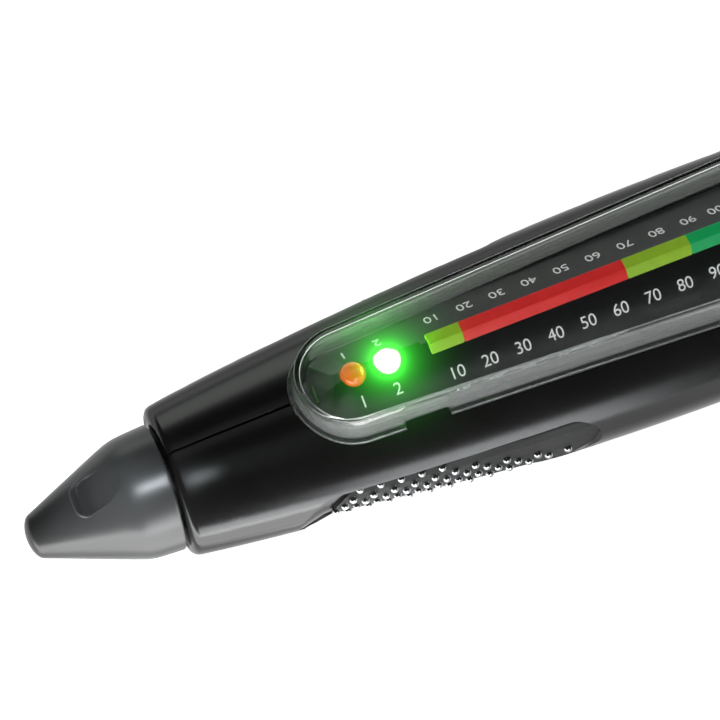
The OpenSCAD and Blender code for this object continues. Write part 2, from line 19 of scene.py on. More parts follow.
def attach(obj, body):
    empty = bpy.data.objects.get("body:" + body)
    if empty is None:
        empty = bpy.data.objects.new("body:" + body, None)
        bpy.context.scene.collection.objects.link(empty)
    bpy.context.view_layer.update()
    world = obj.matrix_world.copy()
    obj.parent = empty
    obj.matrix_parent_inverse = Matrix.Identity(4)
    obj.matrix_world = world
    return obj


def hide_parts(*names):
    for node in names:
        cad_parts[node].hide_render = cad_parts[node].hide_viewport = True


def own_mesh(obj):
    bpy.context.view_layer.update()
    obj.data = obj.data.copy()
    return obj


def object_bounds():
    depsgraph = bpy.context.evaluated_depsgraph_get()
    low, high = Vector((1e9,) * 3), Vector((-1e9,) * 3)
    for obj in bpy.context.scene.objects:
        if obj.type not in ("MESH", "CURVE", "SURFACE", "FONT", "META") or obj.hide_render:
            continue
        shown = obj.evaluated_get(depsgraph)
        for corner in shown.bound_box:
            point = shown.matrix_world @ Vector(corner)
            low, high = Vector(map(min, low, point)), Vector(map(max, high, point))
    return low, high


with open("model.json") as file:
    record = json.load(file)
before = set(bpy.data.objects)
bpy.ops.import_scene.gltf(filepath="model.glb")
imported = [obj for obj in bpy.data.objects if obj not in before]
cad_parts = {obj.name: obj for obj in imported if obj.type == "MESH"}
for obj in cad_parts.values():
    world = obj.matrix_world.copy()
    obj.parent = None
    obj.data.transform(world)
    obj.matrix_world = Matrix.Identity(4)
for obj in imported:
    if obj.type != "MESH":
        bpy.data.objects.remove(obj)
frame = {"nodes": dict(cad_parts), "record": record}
CAD_BOX: tuple[Vector, Vector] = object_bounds()

LOG = logging.getLogger("tester")
MM = 0.001  # metres
TIP_X = -88.0  # X of the cap's tip, in mm
AXIS_Z = 11.5  # height of the cap's axis over the underside, in mm
JOIN_M = 1e-7  # vertices of a new skin this close are one, in metres
NODE_JOIN_M = 2e-7  # the same for a copy of a CAD node
Ring = list[BMVert]
Span = tuple[float, float]
Colour = tuple[float, float, float]
Place = tuple[float, float, float]
Sample = tuple[Vector, Vector, float, float]
Sockets = dict[str, float | tuple[float, ...]]


def at(s: float, y: float, z: float) -> Vector:
    """Gives a place in metres from mm behind the cap's tip, across, and above the cap's axis."""
    return Vector(((s + TIP_X) * MM, y * MM, (z + AXIS_Z) * MM))


def ease(t: np.ndarray) -> np.ndarray:
    """Gives a quarter sine that runs from 0 to 1 while t does."""
    return np.sin(np.pi / 2 * np.clip(t, 0.0, 1.0))


def smooth(t: np.ndarray | float) -> np.ndarray | float:
    """Gives a smooth step from 0 to 1 while t runs from 0 to 1."""
    t = np.clip(t, 0.0, 1.0)
    return t * t * (3 - 2 * t)


def facing(ray: Vector) -> Euler:
    """Gives the turn of a light that shines along a ray."""
    return ray.to_track_quat("-Z", "Y").to_euler()


class Body(Enum):
    """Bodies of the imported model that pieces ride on."""

    HOUSING = "body"
    CAP = "cap"
    BUTTON = "button"
    DOOR = "door"


class Slot(Enum):
    """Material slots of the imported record."""

    SHELL = "shell"
    CAP = "cap"
    CLEAR = "clear"
    PANEL = "panel"
    BAR_YELLOW = "bar_yellow"
    BAR_RED = "bar_red"
    BAR_GREEN = "bar_green"
    LAMP_GREEN = "lamp_green"
    LAMP_ORANGE = "lamp_orange"
    GRIP = "grip"
    STUD = "stud"
    INNER = "inner_plastic"
    SEAL = "seal"
    STEEL = "steel"
    PROBE = "probe"
    BOARD = "board"
    CHIP = "chip_led"
    BUTTON = "button"
    PLUNGER = "plunger"
    CELL = "cell"
    CONTACT = "contact"


class Surface(IntEnum):
    """Surfaces that a face of the housing can lie on."""

    OTHER = 0
    SKIN = 1
    RECESS = 2


@dataclass(frozen=True)
class Finish:
    """A surface of two close tones in a soft mottle, with a fine grain and a gloss that varies.

    Attributes:
        name: Name of the material.
        base: Linear colour of the surface.
        tone: Second linear colour, mixed in by the mottle.
        rough: Lowest and highest roughness.
        metal: Metallic share.
        grain_mm: Size of the grain.
        bump_mm: Depth of the grain.
        mottle_mm: Size of the colour's mottle.
        stretch: Scale of the grain along X, Y and Z.
        edge_gloss: Share of the gloss that is left where the surface turns away.
        milky: Share of the light let through low down, and the heights in mm above the cap's
            axis over which it rises to all of the light.
        sockets: Values that are the same all over, by socket name.
    """

    GRAIN_OCTAVES: ClassVar[float] = 3.0
    MOTTLE_OCTAVES: ClassVar[float] = 4.0
    GRAIN_SPAN: ClassVar[Span] = (0.3, 0.7)
    MOTTLE_SPAN: ClassVar[Span] = (0.32, 0.68)
    EDGE_SPAN: ClassVar[Span] = (0.3, 0.6)
    PLAIN_GLOSS: ClassVar[float] = 0.5

    name: str
    base: Colour
    tone: Colour
    rough: Span = (0.4, 0.5)
    metal: float = 0.0
    grain_mm: float = 0.25
    bump_mm: float = 0.004
    mottle_mm: float = 6.0
    stretch: tuple[float, float, float] = (1.0, 1.0, 1.0)
    edge_gloss: float = 1.0
    milky: tuple[float, float, float] | None = None
    sockets: Sockets = field(default_factory=dict)

    def build(self) -> Material:
        """Makes the material's nodes.

        Returns:
            The finished material.
        """
        material = bpy.data.materials.new(self.name)
        material.use_nodes = True
        tree = material.node_tree
        shader = tree.nodes["Principled BSDF"]
        shader.inputs["Metallic"].default_value = self.metal
        for socket, value in self.sockets.items():
            shader.inputs[socket].default_value = value
        coords = tree.nodes.new("ShaderNodeTexCoord")
        turn = tree.nodes.new("ShaderNodeMapping")
        turn.inputs["Scale"].default_value = self.stretch
        tree.links.new(coords.outputs["Object"], turn.inputs["Vector"])
        grain = self._noise(tree, turn, self.grain_mm, self.GRAIN_OCTAVES)
        mottle = self._noise(tree, turn, self.mottle_mm, self.MOTTLE_OCTAVES)
        self._tones(tree, shader, mottle)
        self._gloss(tree, shader, grain)
        self._relief(tree, shader, grain)
        if self.edge_gloss < 1.0:
            self._soft_edge(tree, shader)
        if self.milky:
            self._milky_below(tree, shader, coords)
        return material

    def _noise(self, tree: NodeTree, turn: Node, size_mm: float, detail: float) -> Node:
        """Adds a noise of a given size.

        Args:
            tree: Node tree of the material.
            turn: Mapping node that the noise reads.
            size_mm: Size of the noise's features.
            detail: Octaves of the noise.

        Returns:
            The noise node.
        """
        noise = tree.nodes.new("ShaderNodeTexNoise")
        noise.inputs["Scale"].default_value = 1.0 / (size_mm * MM)
        noise.inputs["Detail"].default_value = detail
        tree.links.new(turn.outputs["Vector"], noise.inputs["Vector"])
        return noise

    def _tones(self, tree: NodeTree, shader: Node, mottle: Node) -> None:
        """Mixes the two tones by the mottle.

        Args:
            tree: Node tree of the material.
            shader: Surface shader.
            mottle: Noise that mixes the tones.
        """
        ramp = tree.nodes.new("ShaderNodeValToRGB")
        tones = (self.base, self.tone)
        for stop, place, tone in zip(ramp.color_ramp.elements, self.MOTTLE_SPAN, tones):
            stop.position = place
            stop.color = (*tone, 1.0)
        tree.links.new(mottle.outputs["Fac"], ramp.inputs["Fac"])
        tree.links.new(ramp.outputs["Color"], shader.inputs["Base Color"])

    @staticmethod
    def _drive(
        tree: NodeTree, source: NodeSocket, target: NodeSocket, over: Span, values: Span
    ) -> Node:
        """Lets a socket follow a source while the source crosses a span.

        Args:
            tree: Node tree of the material.
            source: Socket to follow.
            target: Socket that follows.
            over: Ends of the source's span.
            values: Values of the target at these ends.

        Returns:
            The node between the two.
        """
        node = tree.nodes.new("ShaderNodeMapRange")
        for name, value in zip(("From Min", "From Max", "To Min", "To Max"), (*over, *values)):
            node.inputs[name].default_value = value
        tree.links.new(source, node.inputs["Value"])
        tree.links.new(node.outputs["Result"], target)
        return node

    def _milky_below(self, tree: NodeTree, shader: Node, coords: Node) -> None:
        """Lets less light through below a height.

        Args:
            tree: Node tree of the material.
            shader: Surface shader.
            coords: Texture coordinates.
        """
        share, low, high = self.milky
        split = tree.nodes.new("ShaderNodeSeparateXYZ")
        tree.links.new(coords.outputs["Object"], split.inputs["Vector"])
        heights = ((low + AXIS_Z) * MM, (high + AXIS_Z) * MM)
        through = shader.inputs["Transmission Weight"]
        node = self._drive(tree, split.outputs["Z"], through, heights, (share, 1.0))
        node.interpolation_type = "SMOOTHSTEP"

    def _soft_edge(self, tree: NodeTree, shader: Node) -> None:
        """Weakens the gloss where the surface turns away from the eye.

        Args:
            tree: Node tree of the material.
            shader: Surface shader.
        """
        weight = tree.nodes.new("ShaderNodeLayerWeight")
        gloss = shader.inputs["Specular IOR Level"]
        values = (self.PLAIN_GLOSS, self.PLAIN_GLOSS * self.edge_gloss)
        self._drive(tree, weight.outputs["Facing"], gloss, self.EDGE_SPAN, values)

    def _gloss(self, tree: NodeTree, shader: Node, grain: Node) -> None:
        """Lets the roughness follow the grain."""
        rough = shader.inputs["Roughness"]
        self._drive(tree, grain.outputs["Fac"], rough, self.GRAIN_SPAN, self.rough)

    def _relief(self, tree: NodeTree, shader: Node, grain: Node) -> None:
        """Adds the grain as a fine bump.

        Args:
            tree: Node tree of the material.
            shader: Surface shader.
            grain: Noise of the grain.
        """
        bump = tree.nodes.new("ShaderNodeBump")
        bump.inputs["Strength"].default_value = 1.0
        bump.inputs["Distance"].default_value = self.bump_mm * MM
        tree.links.new(grain.outputs["Fac"], bump.inputs["Height"])
        tree.links.new(bump.outputs["Normal"], shader.inputs["Normal"])


def grey(value: float, warm: float = 1.0) -> Colour:
    """Gives a linear grey, with warm as a factor on red and its inverse on blue."""
    return (value * warm, value, value / warm)


def lit(colour: Colour, strength: float) -> Sockets:
    """Gives the sockets of a surface that glows in a linear colour."""
    return {"Emission Color": (*colour, 1.0), "Emission Strength": strength}


FINISHES: dict[Slot, Finish] = {
    Slot.SHELL: Finish(
        "satin_black_plastic", grey(0.009, 1.05), grey(0.012, 1.04), (0.18, 0.24),
        bump_mm=0.001, edge_gloss=0.12,
    ),
    Slot.CAP: Finish(
        "matt_grey_plastic", grey(0.04), grey(0.048), (0.28, 0.34), bump_mm=0.001, edge_gloss=0.35
    ),
    Slot.CLEAR: Finish(
        "clear_window", (0.97, 0.98, 0.97), (0.95, 0.97, 0.96), (0.01, 0.03), grain_mm=3.0,
        bump_mm=0.0005, mottle_mm=12.0, milky=(0.9, 10.3, 11.4), sockets={"IOR": 1.49},
    ),
    Slot.PANEL: Finish("black_panel", grey(0.006), grey(0.009), (0.3, 0.42), bump_mm=0.002),
    # The bar's lenses carry a faint painted glow in their own colours, so they stay bright and even
    # whatever light falls on them.
    Slot.BAR_YELLOW: Finish(
        "yellow_green_lens_painted_glow", (0.24, 0.42, 0.025), (0.3, 0.5, 0.03), (0.35, 0.5), mottle_mm=1.2,
        sockets=lit((0.25, 0.43, 0.02), 0.6),
    ),
    Slot.BAR_RED: Finish(
        "red_lens_painted_glow", (0.52, 0.02, 0.018), (0.62, 0.03, 0.028), (0.35, 0.5), mottle_mm=1.2,
        sockets=lit((0.55, 0.018, 0.018), 0.7),
    ),
    Slot.BAR_GREEN: Finish(
        "green_lens_painted_glow", (0.004, 0.29, 0.085), (0.006, 0.36, 0.11), (0.35, 0.5), mottle_mm=1.2,
        sockets=lit((0.002, 0.3, 0.08), 0.7),
    ),
    Slot.LAMP_GREEN: Finish(
        "lit_green_lamp", (0.3, 0.9, 0.4), (0.4, 1.0, 0.5), (0.1, 0.2), mottle_mm=1.0,
        sockets=lit((0.06, 1.0, 0.05), 100.0),
    ),
    # The orange lamp is not lit; its faint emission is a painted glow that brightens it and
    # flattens its shading.
    Slot.LAMP_ORANGE: Finish(
        "orange_lamp_painted_glow", (0.6, 0.05, 0.005), (0.7, 0.08, 0.008), (0.1, 0.2), mottle_mm=0.7,
        sockets=lit((0.8, 0.07, 0.004), 0.65) | {"Coat Weight": 0.4},
    ),
    Slot.GRIP: Finish(
        "grip_rubber", grey(0.02), grey(0.028), (0.6, 0.7), grain_mm=0.35, bump_mm=0.02,
        sockets={"Specular IOR Level": 0.15},
    ),
    Slot.STUD: Finish(
        "polished_chrome", grey(0.3, 0.99), grey(0.36, 0.99), (0.16, 0.22), 1.0, bump_mm=0.001
    ),
    Slot.INNER: Finish("dark_inner_plastic", grey(0.03), grey(0.04), (0.45, 0.6)),
    Slot.SEAL: Finish("ring_rubber", grey(0.012), grey(0.018), (0.5, 0.7), bump_mm=0.006),
    Slot.STEEL: Finish(
        "brushed_steel", grey(0.5, 0.98), grey(0.6, 0.98), (0.25, 0.4), 1.0, stretch=(0.1, 1.0, 1.0)
    ),
    Slot.PROBE: Finish("copper_probe", (0.72, 0.36, 0.2), (0.8, 0.45, 0.27), (0.18, 0.3), 1.0),
    Slot.BOARD: Finish(
        "green_board", (0.008, 0.09, 0.035), (0.012, 0.14, 0.05), (0.3, 0.42), mottle_mm=2.5
    ),
    Slot.CHIP: Finish(
        "chip_lens", (0.8, 0.74, 0.45), (0.86, 0.82, 0.6), (0.15, 0.3), mottle_mm=0.6
    ),
    Slot.BUTTON: Finish("button_plastic", grey(0.05), grey(0.062), (0.4, 0.52), bump_mm=0.006),
    Slot.PLUNGER: Finish("red_plunger", (0.42, 0.03, 0.02), (0.5, 0.05, 0.03), (0.4, 0.55)),
    Slot.CELL: Finish(
        "printed_cell_jacket", (0.02, 0.06, 0.22), (0.03, 0.08, 0.3), (0.2, 0.32), 0.4
    ),
    Slot.CONTACT: Finish(
        "plated_contact", grey(0.62), grey(0.72), (0.2, 0.34), 1.0, stretch=(1.0, 0.15, 1.0)
    ),
}
# The white print carries a faint painted glow, so it stays bright whatever light falls on it.
PRINT_WITH_PAINTED_GLOW = Finish(
    "white_print_painted_glow", grey(0.8), grey(0.9), (0.5, 0.65), mottle_mm=0.5,
    sockets=lit((1.0, 1.0, 1.0), 0.35),
)
PAPER = Finish(
    "white_paper", grey(0.86), grey(0.88), (0.8, 0.9), grain_mm=2.0, mottle_mm=200.0,
    sockets=lit((1.0, 1.0, 1.0), 1.0) | {"Specular IOR Level": 0.1},
)


class Paints:
    """The part's materials, each made once."""

    def __init__(self) -> None:
        """Makes one material for each slot, and one for the print with its painted glow."""
        self.by_slot = {slot: finish.build() for slot, finish in FINISHES.items()}
        self.print = PRINT_WITH_PAINTED_GLOW.build()


def new_piece(
    name: str,
    bm: BMesh,
    material: Material,
    body: Body,
    replaced: Sequence[str] = (),
    smooth_angle: float = 40.0,
) -> Object:
    """Turns a bmesh into a piece of the part.

    Args:
        name: Name of the piece.
        bm: Geometry, in metres in the part's frame. It is freed.
        material: Finish of the piece.
        body: Body that the piece rides on.
        replaced: CAD nodes that the piece stands for.
        smooth_angle: Edges sharper than this, in degrees, stay sharp.

    Returns:
        The new object.
    """
    mesh = bpy.data.meshes.new(name)
    bm.to_mesh(mesh)
    bm.free()
    mesh.materials.append(material)
    mesh.shade_smooth()
    mesh.set_sharp_from_angle(angle=math.radians(smooth_angle))
    obj = bpy.data.objects.new(name, mesh)
    bpy.context.scene.collection.objects.link(obj)
    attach(obj, body.value)
    if replaced:
        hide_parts(*replaced)
    LOG.info("%s: %d faces on %s", name, len(mesh.polygons), body.value)
    return obj


def merged_copy(node: str) -> BMesh:
    """Copies a CAD node's mesh and joins its loose triangles.

    Args:
        node: Name of the CAD node.

    Returns:
        The joined geometry.
    """
    bm = bmesh.new()
    bm.from_mesh(frame["nodes"][node].data)
    bmesh.ops.remove_doubles(bm, verts=bm.verts, dist=NODE_JOIN_M)
    return bm


def ring_edges(bm: BMesh, ring: Ring) -> list[BMEdge]:
    """Gives the edges of a closed ring, in order."""
    return [bm.edges.get(pair) for pair in zip(ring, ring[1:] + ring[:1])]


def closed(bm: BMesh) -> BMesh:
    """Merges a skin's poles and doubles and turns its faces outwards.

    Args:
        bm: A skin whose ends meet.

    Returns:
        The same skin.
    """
    bmesh.ops.remove_doubles(bm, verts=bm.verts, dist=JOIN_M)
    bmesh.ops.recalc_face_normals(bm, faces=bm.faces)
    return bm


def first_ring(bm: BMesh, places: Sequence[Vector]) -> Ring:
    """Starts a loft with one closed ring of edges.

    Args:
        bm: Geometry to add to.
        places: Places of the ring's vertices, in order.

    Returns:
        The ring's vertices, in order.
    """
    ring = bmesh.ops.create_circle(bm, segments=len(places), radius=1.0)["verts"]
    for vert, place in zip(ring, places):
        vert.co = place
    return ring


def next_ring(bm: BMesh, ring: Ring, places: Sequence[Vector]) -> Ring:
    """Extrudes a closed ring and moves the new ring to its places.

    Args:
        bm: Geometry to add to.
        ring: Ring to extrude, in order.
        places: Places of the new ring's vertices, in the same order.

    Returns:
        The new ring's vertices, in order.
    """
    made = bmesh.ops.extrude_edge_only(bm, edges=ring_edges(bm, ring))["geom"]
    fresh = {v for v in made if isinstance(v, BMVert)}
    grown = [next(w for e in v.link_edges if (w := e.other_vert(v)) in fresh) for v in ring]
    for vert, place in zip(grown, places):
        vert.co = place
    return grown


def loft(rings: Iterable[Sequence[Vector]]) -> BMesh:
    """Joins closed rings of places into one skin, with poles and doubles merged.

    Args:
        rings: Rings of equal length.

    Returns:
        The skin, facing outwards.
    """
    bm = bmesh.new()
    ring: Ring = []
    for places in rings:
        ring = next_ring(bm, ring, places) if ring else first_ring(bm, places)
    return closed(bm)


def turned(places: Sequence[Vector], centre: Vector, axis: Place, steps: int) -> BMesh:
    """Spins a profile round an axis.

    Args:
        places: Points of the profile in metres, with both ends on the axis.
        centre: A place on the axis.
        axis: Direction of the axis.
        steps: Number of steps in the full turn.

    Returns:
        The closed form, facing outwards.
    """
    bm = bmesh.new()
    verts = [bm.verts.new(place) for place in places]
    edges = [bm.edges.new(pair) for pair in zip(verts, verts[1:])]
    bmesh.ops.spin(
        bm, geom=verts + edges, cent=centre, axis=axis, angle=2 * math.pi, steps=steps,
        use_merge=True,
    )
    return closed(bm)


@dataclass(frozen=True)
class BodyForm:
    """The housing's outer form: rounded sections whose sizes follow smooth curves, in mm."""

    length: float = 176.0
    nose_s: float = 17.6
    nose_half_w: float = 9.4
    max_half_w: float = 15.3
    nose_top: float = 7.9
    max_top: float = 9.3
    nose_low: float = 8.1
    belly_z: float = 13.6
    belly_run: float = 70.0
    mid_front: float = 1.9
    mid_rear: float = 0.5
    wide_s: float = 95.0
    width_power: float = 0.855
    top_power: float = 0.52
    upper_n: float = 1.75
    lower_n: float = 2.1
    nose_round: float = 1.0
    tail_round: float = 10.0
    tail_n: float = 2.4
    tail_share: float = 0.97
    tail_limit: float = 0.999
    tail_narrow: float = 0.9
    tail_drop: float = 1.6
    tail_drop_power: float = 1.6
    nose_slant: float = 0.1
    slant_run: float = 20.0
    slant_rounds: int = 3
    scoop_s: float = 29.4
    scoop_end_s: float = 35.0
    recess_depth: float = 1.4
    fade_s: float = 38.0
    fade_end_s: float = 62.0
    fade: float = 0.8
    facet_depth: float = 1.2
    facet_r: float = 35.0
    facet_z: float = -0.3
    facet_out: float = 1.5
    slope_mm: float = 0.01
    least_slope: float = 1e-9

    def _along(self, s: np.ndarray) -> np.ndarray:
        """Gives how far a station is from the nose to the widest place, eased."""
        return ease((s - self.nose_s) / (self.wide_s - self.nose_s))

    def _tail(self, s: np.ndarray) -> np.ndarray:
        """Gives how far a station is from the widest place to the tail."""
        return np.clip((s - self.wide_s) / (self.length - self.wide_s), 0.0, None)

    def half_w(self, s: np.ndarray) -> np.ndarray:
        """Gives the half width at a station."""
        grown = (self.max_half_w - self.nose_half_w) * self._along(s) ** self.width_power
        return self.nose_half_w + grown - self.tail_narrow * self._tail(s) ** 2

    def top_z(self, s: np.ndarray) -> np.ndarray:
        """Gives the height of the top at a station."""
        grown = (self.max_top - self.nose_top) * self._along(s) ** self.top_power
        return self.nose_top + grown - self.tail_drop * self._tail(s) ** self.tail_drop_power

    def mid_z(self, s: np.ndarray) -> np.ndarray:
        """Gives the height of the widest line at a station."""
        share = np.clip((s - self.nose_s) / (self.wide_s - self.nose_s), 0.0, 1.0)
        return self.mid_front + (self.mid_rear - self.mid_front) * share

    def low_z(self, s: np.ndarray) -> np.ndarray:
        """Gives the depth of the belly at a station, before its flat."""
        drop = (self.belly_z - self.nose_low) * ease((s - self.nose_s) / self.belly_run)
        return -self.nose_low - drop

    def surface_z(self, s: float, y: float) -> float:
        """Gives the height of the upper skin over a place.

        Args:
            s: Station in mm behind the tip.
            y: Distance across in mm.

        Returns:
            The height above the cap's axis in mm.
        """
        place = np.array([s])
        share = max(0.0, 1.0 - (abs(y) / float(self.half_w(place)[0])) ** self.upper_n)
        mid = float(self.mid_z(place)[0])
        return mid + (float(self.top_z(place)[0]) - mid) * share ** (1 / self.upper_n)

    def scoop(self, s: np.ndarray) -> np.ndarray:
        """Gives how far the finger recess has dipped in along its front ramp."""
        return smooth((s - self.scoop_s) / (self.scoop_end_s - self.scoop_s))

    def recess_in(self, s: np.ndarray) -> np.ndarray:
        """Gives the depth of the finger recess at a station, which fades to the rear."""
        t = np.clip((s - self.fade_s) / (self.fade_end_s - self.fade_s), 0.0, 1.0)
        return self.scoop(s) * (self.recess_depth - self.fade * t)

    def facet_y(self, s: np.ndarray, z: np.ndarray) -> np.ndarray:
        """Gives the half width of the nearly flat floor that cuts the bulge of the side.

        Args:
            s: Stations in mm behind the tip.
            z: Heights above the cap's axis in mm.

        Returns:
            The half widths in mm.
        """
        inward = self.scoop(s) * (self.facet_depth + self.facet_out)
        bulge = (z - self.facet_z) ** 2 / (2 * self.facet_r)
        return self.half_w(s) + self.facet_out - inward - bulge

    def _level(self, p: np.ndarray, recessed: bool) -> np.ndarray:
        """Gives a level that is 1 on the form's skin and grows outwards.

        Args:
            p: Rows of station, across and height in mm.
            recessed: True for the floor of the finger recess.

        Returns:
            The level of each row.
        """
        x, y, z = p[:, 0], p[:, 1], p[:, 2]
        s = x
        for _ in range(self.slant_rounds):
            left = np.clip(1 - (s - self.nose_s) / self.slant_run, 0.0, None)
            s = x - self.nose_slant * left * z
        dip = np.clip(self.nose_round - (s - self.nose_s), 0.0, self.nose_round)
        inset = self.nose_round - np.sqrt(self.nose_round**2 - dip**2)
        if recessed:
            inset = inset + self.recess_in(s)
        past = s - (self.length - self.tail_round)
        v = np.clip(self.tail_share * past / self.tail_round, 0.0, self.tail_limit)
        q = (1 - v**self.tail_n) ** (1 / self.tail_n)
        mid = self.mid_z(s)
        upper = z >= mid
        n = np.where(upper, self.upper_n, self.lower_n)
        reach = np.where(upper, self.top_z(s) - mid, mid - self.low_z(s)) - inset
        wide = (self.half_w(s) - inset) * q
        level = (np.abs(y) / wide) ** n + (np.abs(z - mid) / (reach * q)) ** n
        return np.maximum(level, np.abs(y) / self.facet_y(s, z)) if recessed else level

    def skin(self, p: np.ndarray, recessed: bool) -> tuple[np.ndarray, np.ndarray]:
        """Measures places against the form's skin.

        Args:
            p: Rows of station, across and height in mm.
            recessed: True for the floor of the finger recess.

        Returns:
            The distance of each row outside the skin in mm, and the unit normals.
        """
        steps = np.eye(3) * self.slope_mm
        rises = [self._level(p + d, recessed) - self._level(p - d, recessed) for d in steps]
        slope = np.stack(rises, 1) / (2 * self.slope_mm)
        size = np.maximum(np.linalg.norm(slope, axis=1), self.least_slope)
        return (self._level(p, recessed) - 1.0) / size, slope / size[:, None]


FORM = BodyForm()


@dataclass
class Housing:
    """The two half shells and the sliding door, with the form's true curves in their shading."""

    nodes: tuple[tuple[str, Body], ...] = (
        ("left_shell", Body.HOUSING),
        ("right_shell", Body.HOUSING),
        ("battery_door", Body.DOOR),
    )
    skin_mm: float = 0.25
    skin_turn: float = 0.85
    recess_span: Span = (29.5, 68.5)
    edge_mm: tuple[float, ...] = (4.0, 3.0, 2.0, 2.0, 1.6)
    sharp_deg: float = 28.0

    def build(self, paints: Paints) -> None:
        """Makes the shells and the door.

        Args:
            paints: The part's materials.
        """
        shell = paints.by_slot[Slot.SHELL]
        for node, body in self.nodes:
            bm = merged_copy(node)
            self._refine(bm)
            piece = new_piece(node + "_skin", bm, shell, body, (node,), self.sharp_deg)
            self._true_normals(piece.data)

    def _refine(self, bm: BMesh) -> None:
        """Divides the long edges on the form's skin.

        Args:
            bm: Joined copy of a CAD node.
        """
        for limit in self.edge_mm:
            faces = list(bm.faces)
            centres = np.array([f.calc_center_median()[:] for f in faces])
            kinds = self._kinds(centres, np.array([f.normal[:] for f in faces]))
            skin = {f for f, kind in zip(faces, kinds) if kind == Surface.SKIN}
            long = [e for e in bm.edges if e.calc_length() > limit * MM]
            edges = [e for e in long if all(f in skin for f in e.link_faces)]
            made = bmesh.ops.subdivide_edges(bm, edges=edges, cuts=1)["geom_inner"]
            self._raise([v for v in made if isinstance(v, BMVert)])
            bmesh.ops.triangulate(bm, faces=[f for f in bm.faces if len(f.verts) > 3])
            bm.normal_update()

    def _raise(self, verts: list[BMVert]) -> None:
        """Moves vertices out to the form's skin, as far as the CAD model's box.

        Args:
            verts: Vertices in the middle of divided edges.
        """
        if not verts:
            return
        away, normals = FORM.skin(self._local(np.array([v.co[:] for v in verts])), False)
        for vert, gap, normal in zip(verts, away, normals):
            moved = vert.co - Vector(normal) * float(gap) * MM
            vert.co = Vector(min(max(v, low), high) for v, low, high in zip(moved, *CAD_BOX))

    @staticmethod
    def _local(places: np.ndarray) -> np.ndarray:
        """Turns rows of places in metres into mm behind the tip, across and above the axis."""
        return places / MM - np.array([TIP_X, 0.0, AXIS_Z])

    def _kinds(self, centres: np.ndarray, normals: np.ndarray) -> np.ndarray:
        """Sorts faces by the surface that they lie on.

        Args:
            centres: Middles of the faces, in metres.
            normals: Normals of the faces.

        Returns:
            The surface that each face lies on.
        """
        local = self._local(centres)
        kinds = np.full(len(centres), Surface.OTHER, int)
        span = (local[:, 0] > self.recess_span[0]) & (local[:, 0] < self.recess_span[1])
        for kind, where in ((Surface.RECESS, span), (Surface.SKIN, True)):
            away, true = FORM.skin(local, kind == Surface.RECESS)
            turned_alike = (true * normals).sum(1) > self.skin_turn
            kinds[(np.abs(away) < self.skin_mm) & turned_alike & where] = kind
        return kinds

    def _true_normals(self, mesh: Mesh) -> None:
        """Gives the faces on the form the form's own normals, and leaves the others as they are.

        Args:
            mesh: Joined copy of a CAD node.
        """
        corners = np.array([corner.vector[:] for corner in mesh.corner_normals])
        verts = self._local(np.array([v.co[:] for v in mesh.vertices]))
        index = np.array([loop.vertex_index for loop in mesh.loops])
        counts = [len(f.loop_indices) for f in mesh.polygons]
        owner = np.repeat(np.arange(len(mesh.polygons)), counts)
        faces = np.array([f.normal[:] for f in mesh.polygons])
        kinds = self._kinds(np.array([f.center[:] for f in mesh.polygons]), faces)
        for kind in (Surface.SKIN, Surface.RECESS):
            chosen = kinds[owner] == kind
            corners[chosen] = FORM.skin(verts[index[chosen]], kind == Surface.RECESS)[1]
        mesh.normals_split_custom_set(corners.tolist())


